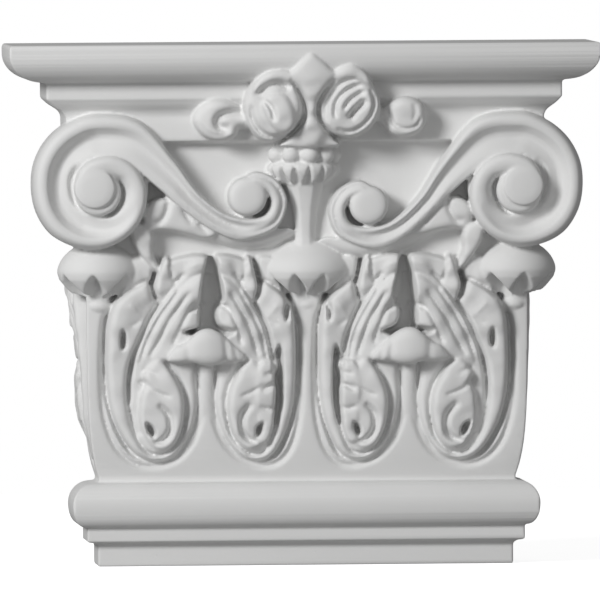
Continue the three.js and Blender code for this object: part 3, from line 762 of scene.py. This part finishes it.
posy.crease(RIGHT_SLIT, 1.25, 5.0, 0.15, 0.3)
posy.crease(RIGHT_ROSE_LINE, 0.8, 2.6, 0.15, 0.15)
# bud
posy.swell(BUD, BUD_CREST, 3.0, 2.7)
posy.crease(BUD_LEFT_EDGE, 0.8, 4.0, 0.12, 0.12)
posy.crease(BUD_RIGHT_EDGE, 0.75, 3.6, 0.12, 0.12)
posy.reach = soften(posy.reach, 1)
lay_sheet(posy, range(len(posy_out)), lambda s, reach, z, flat: spot(s, reach, z), flat_back(BACKING_REACH))

# The cup: a fluted basket of petals with a row of beads in it, on a tapering stem with flat faces. It was
# turned, then cut, and is cast standing against the bell.
CUP_X = -1.6
CUP_REACH = 42.0
PETALS = 14.5
BEAD_RADIUS = 3.9
BEAD_RING = 12.3
BEAD_HEIGHT = 173.9
BEAD_PLACES = (-67, -28, 10, 47, 86)
CUP_STEM = [(0, 134), (5, 135), (4.4, 139), (4.5, 143), (5.4, 150), (7.2, 157), (8.6, 161), (8.8, 162.6),
            (0, 163)]


def petal_cup(co):
    angle = math.atan2(co.y, co.x) + math.pi / 2
    r = math.hypot(co.x, co.y)
    if 161.4 < co.z < 170.2 and r > 6:
        apart = abs(((angle - math.radians(7)) * PETALS / (2 * math.pi) + 0.5) % 1 - 0.5) * 2
        half_width = 0.62 * (169.6 - co.z) / 6.6
        r -= 3.4 * min(max((half_width - apart) / 0.3 + 0.5, 0), 1) * min(1, (co.z - 161.4) / 0.9)
    return spot(CUP_X + r * math.sin(angle), CUP_REACH + r * math.cos(angle), co.z)


cup = [(0, 160), (8.4, 161.2), (10.5, 162), (12.6, 163.2)]
cup += [(12.6 + 2.6 * math.sin(math.pi / 2 * step / 14), 163.2 + 5 * step / 14) for step in range(1, 15)]
cup += [(14.9, 169.3), (13.8, 170.2), (12.6, 170.8), (12.2, 171.2), (12.0, 176.8), (12.6, 177.4),
        (12.8, 178.4), (12, 180.4), (0, 181)]
join_pattern(turned(cup, 240, petal_cup))
for degrees in BEAD_PLACES:
    bead = bmesh.new()
    bmesh.ops.create_uvsphere(bead, u_segments=24, v_segments=14, radius=BEAD_RADIUS * 0.001)
    bmesh.ops.scale(bead, verts=bead.verts[:], vec=(1, 1, 0.92))
    a = math.radians(degrees)
    bead_spot = spot(CUP_X + BEAD_RING * math.sin(a), CUP_REACH + BEAD_RING * math.cos(a), BEAD_HEIGHT)
    bmesh.ops.translate(bead, verts=bead.verts[:], vec=bead_spot)
    join_pattern(bead)


def flat_to_front(co):
    """Turns the stem an eighth of half a turn, so that a flat face looks forward."""
    c = math.cos(math.pi / 8)
    s = math.sin(math.pi / 8)
    return spot(CUP_X + 0.6 + co.x * c + co.y * s, CUP_REACH + co.x * s - co.y * c, co.z)


join_pattern(turned(CUP_STEM, 8, flat_to_front))

# The plain body joins the carving, which stands a little off its middle, as on the real casting. The lip
# and the fascia run out a little farther on the left, where the mould's side had spread.
ASIDE = 0.9
LEFT_FLARE = ((48, 54, 70), (0, 1.3, 2.1))
bmesh.ops.translate(pattern, verts=pattern.verts[:], vec=(ASIDE * 0.001, 0, 0))
body = bmesh.new()
bmesh.ops.create_grid(body, x_segments=1, y_segments=1, size=1)
top_verts = body.verts[:]
top_face = body.faces[:][-1]
for count, (level, reach) in enumerate(levels):
    if count:
        grown = bmesh.ops.extrude_face_region(body, geom=[top_face])
        top_verts = [item for item in grown["geom"] if isinstance(item, bmesh.types.BMVert)]
        top_face = next(item for item in grown["geom"] if isinstance(item, bmesh.types.BMFace))
    for vert in top_verts:
        side = math.copysign(1, vert.co.x)
        front = vert.co.y < (WALL * 0.001 - 1e-6 if count else 0)
        flare = float(np.interp(reach, *LEFT_FLARE)) if side < 0 else 0.0
        vert.co = spot(side * (CORE_HALF + reach + flare), reach if front else 0.0, level)
join_pattern(body)

# The casting: the pattern's pieces run together into one skin, slightly softened as a moulded part is. It
# is poured in a rigid off-white plastic, with a matt primer that shows a fine grain and a few pits.
VOXEL = 0.0006
SOFTENING = 0.5
TRIANGLES = 196000
CREAM_LOW = (0.72, 0.72, 0.715, 1)
CREAM_HIGH = (0.78, 0.78, 0.775, 1)
bmesh.ops.recalc_face_normals(pattern, faces=pattern.faces[:])
raw = bpy.data.meshes.new("pattern")
pattern.to_mesh(raw)
pattern.free()
mould = bpy.data.objects.new("mould", raw)
bpy.context.scene.collection.objects.link(mould)
skin = mould.modifiers.new("skin", "REMESH")
skin.mode = "VOXEL"
skin.voxel_size = VOXEL
ease = mould.modifiers.new("ease", "SMOOTH")
ease.factor = SOFTENING
ease.iterations = 2
poured = bpy.data.meshes.new_from_object(mould.evaluated_get(bpy.context.evaluated_depsgraph_get()))
bpy.data.objects.remove(mould)
casting = bpy.data.objects.new("capital_casting", poured)
bpy.context.scene.collection.objects.link(casting)
thin = casting.modifiers.new("thin", "DECIMATE")
thin.ratio = min(1.0, TRIANGLES / (2 * len(poured.polygons)))
thinned = bpy.data.meshes.new_from_object(casting.evaluated_get(bpy.context.evaluated_depsgraph_get()))
casting.modifiers.clear()
casting.data = thinned
thinned.name = "capital_casting"


def drop_folded(skin):
    """Takes out flat crumbs: pairs of faces that lie back to back on the same corners."""
    found = {}
    for face in skin.faces:
        found.setdefault(frozenset(face.verts), []).append(face)
    folded = [face for faces in found.values() if len(faces) > 1 for face in faces]
    bmesh.ops.delete(skin, geom=folded, context="FACES")


trimmed = bmesh.new()
trimmed.from_mesh(thinned)
drop_folded(trimmed)
bmesh.ops.triangulate(trimmed, faces=trimmed.faces[:])
drop_folded(trimmed)
trimmed.to_mesh(thinned)
trimmed.free()
thinned.shade_smooth()


class Tone:
    """A shader socket that adds its own Math nodes when it is used in a sum."""

    def __init__(self, paint, socket):
        self.paint = paint
        self.socket = socket

    def _sum(self, operation, first, second):
        return self.paint.node("ShaderNodeMath", {"operation": operation}, {0: first, 1: second})[0]

    def __add__(self, other):
        return self._sum("ADD", self, other)

    __radd__ = __add__

    def __mul__(self, other):
        return self._sum("MULTIPLY", self, other)

    __rmul__ = __mul__


class Paint:
    """A finish: the nodes of one material."""

    def __init__(self, name):
        self.material = bpy.data.materials.new(name)
        self.material.use_nodes = True
        self.tree = self.material.node_tree
        self.tree.nodes.clear()

    def node(self, kind, settings=None, values=None):
        made = self.tree.nodes.new(kind)
        for key, value in (settings or {}).items():
            if key == "stops":
                for stop, (place, colour) in zip(made.color_ramp.elements, value):
                    stop.position = place
                    stop.color = colour
            else:
                setattr(made, key, value)
        for key, value in (values or {}).items():
            if isinstance(value, Tone):
                self.tree.links.new(value.socket, made.inputs[key])
            else:
                made.inputs[key].default_value = value
        return [Tone(self, socket) for socket in made.outputs]


primer = Paint("casting_primer")
where = primer.node("ShaderNodeTexCoord")[3]
cloud = primer.node("ShaderNodeTexNoise", {}, {
    "Vector": where, "Scale": 18.0, "Detail": 3.0, "Roughness": 0.5})[0]
grain = primer.node("ShaderNodeTexNoise", {}, {
    "Vector": where, "Scale": 900.0, "Detail": 2.0, "Roughness": 0.6})[0]
pits = primer.node("ShaderNodeTexVoronoi", {}, {"Vector": where, "Scale": 160.0})[0]
pit = primer.node("ShaderNodeMapRange", {}, {"Value": pits, "From Min": 0.03, "From Max": 0.1})[0]
colour = primer.node("ShaderNodeMix", {"data_type": "RGBA"}, {0: cloud, 6: CREAM_LOW, 7: CREAM_HIGH})[2]
height = grain * 0.12 + pit * 0.5
bump = primer.node("ShaderNodeBump", {}, {"Strength": 0.25, "Distance": 0.0003, "Height": height})[0]
shader = primer.node("ShaderNodeBsdfPrincipled", {}, {
    "Base Color": colour, "Roughness": 0.66 + cloud * 0.14, "Specular IOR Level": 0.3, "Normal": bump})[0]
primer.node("ShaderNodeOutputMaterial", {}, {"Surface": shader})
thinned.materials.clear()
thinned.materials.append(primer.material)
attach(casting, "root")
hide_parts("capital")

# The studio: a plain pale floor under the capital, a soft light high on the left, weak fill from the
# right, and a long lens a little left of the middle and a little above it.
FLOOR_HALF = 0.8
LAMPS = (("key", (-1.45, -1.6, 1.0), (0, 0, 0.11), 0.6, 38),
         ("front", (0.5, -2.2, 0.6), (0, 0, 0.11), 1.5, 3))
floor_mesh = bmesh.new()
bmesh.ops.create_grid(floor_mesh, x_segments=1, y_segments=1, size=FLOOR_HALF)
bmesh.ops.translate(floor_mesh, verts=floor_mesh.verts[:], vec=(0, 0, -0.0002))
floor_data = bpy.data.meshes.new("floor")
floor_mesh.to_mesh(floor_data)
floor_mesh.free()
floor = bpy.data.objects.new("floor", floor_data)
bpy.context.scene.collection.objects.link(floor)
paper = Paint("paper")
seen_floor = paper.node("ShaderNodeBsdfPrincipled", {}, {
    "Base Color": (0.9, 0.9, 0.9, 1), "Roughness": 0.9, "Emission Color": (1, 1, 1, 1),
    "Emission Strength": 0.8})[0]
lit_floor = paper.node("ShaderNodeBsdfDiffuse", {}, {"Color": (0.4, 0.4, 0.4, 1)})[0]
to_camera = paper.node("ShaderNodeLightPath")[0]
blend = paper.node("ShaderNodeMixShader", {}, {0: to_camera, 1: lit_floor, 2: seen_floor})[0]
paper.node("ShaderNodeOutputMaterial", {}, {"Surface": blend})
floor_data.materials.append(paper.material)

world = bpy.data.worlds.new("studio")
bpy.context.scene.world = world
world.use_nodes = True
sky = world.node_tree
sky.nodes.clear()
seen = sky.nodes.new("ShaderNodeLightPath")
white = sky.nodes.new("ShaderNodeBackground")
white.inputs["Strength"].default_value = 1.0
white.inputs["Color"].default_value = (1, 1, 1, 1)
fill = sky.nodes.new("ShaderNodeBackground")
fill.inputs["Strength"].default_value = 0.19
fill.inputs["Color"].default_value = (1, 1, 1, 1)
either = sky.nodes.new("ShaderNodeMixShader")
ending = sky.nodes.new("ShaderNodeOutputWorld")
sky.links.new(seen.outputs["Is Camera Ray"], either.inputs[0])
sky.links.new(fill.outputs[0], either.inputs[1])
sky.links.new(white.outputs[0], either.inputs[2])
sky.links.new(either.outputs[0], ending.inputs[0])

for name, at, aim, size, watts in LAMPS:
    lamp = bpy.data.lights.new(name, "AREA")
    lamp.size = size
    lamp.energy = watts
    holder = bpy.data.objects.new(name, lamp)
    holder.location = at
    holder.rotation_euler = (Vector(aim) - Vector(at)).to_track_quat("-Z", "Y").to_euler()
    bpy.context.scene.collection.objects.link(holder)

AZIMUTH = -3.6
ELEVATION = 1.7
ROLL = -0.35
DISTANCE = 9.0
FRAME_WIDTH = 0.2535
AIM = (-0.0025, -0.01, 0.1124)
eye_data = bpy.data.cameras.new("camera")
eye_data.sensor_width = 36
eye_data.lens = 36 * DISTANCE / FRAME_WIDTH
eye_data.clip_end = 50
eye = bpy.data.objects.new("camera", eye_data)
az = math.radians(AZIMUTH)
el = math.radians(ELEVATION)
aim = Vector(AIM)
away = Vector((math.sin(az) * math.cos(el), -math.cos(az) * math.cos(el), math.sin(el)))
eye.location = aim + away * DISTANCE
turn = (-away).to_track_quat("-Z", "Y").to_matrix().to_4x4()
eye.rotation_euler = (turn @ Matrix.Rotation(math.radians(ROLL), 4, "Z")).to_euler()
bpy.context.scene.collection.objects.link(eye)
bpy.context.scene.camera = eye
bpy.context.scene.view_settings.view_transform = "Standard"
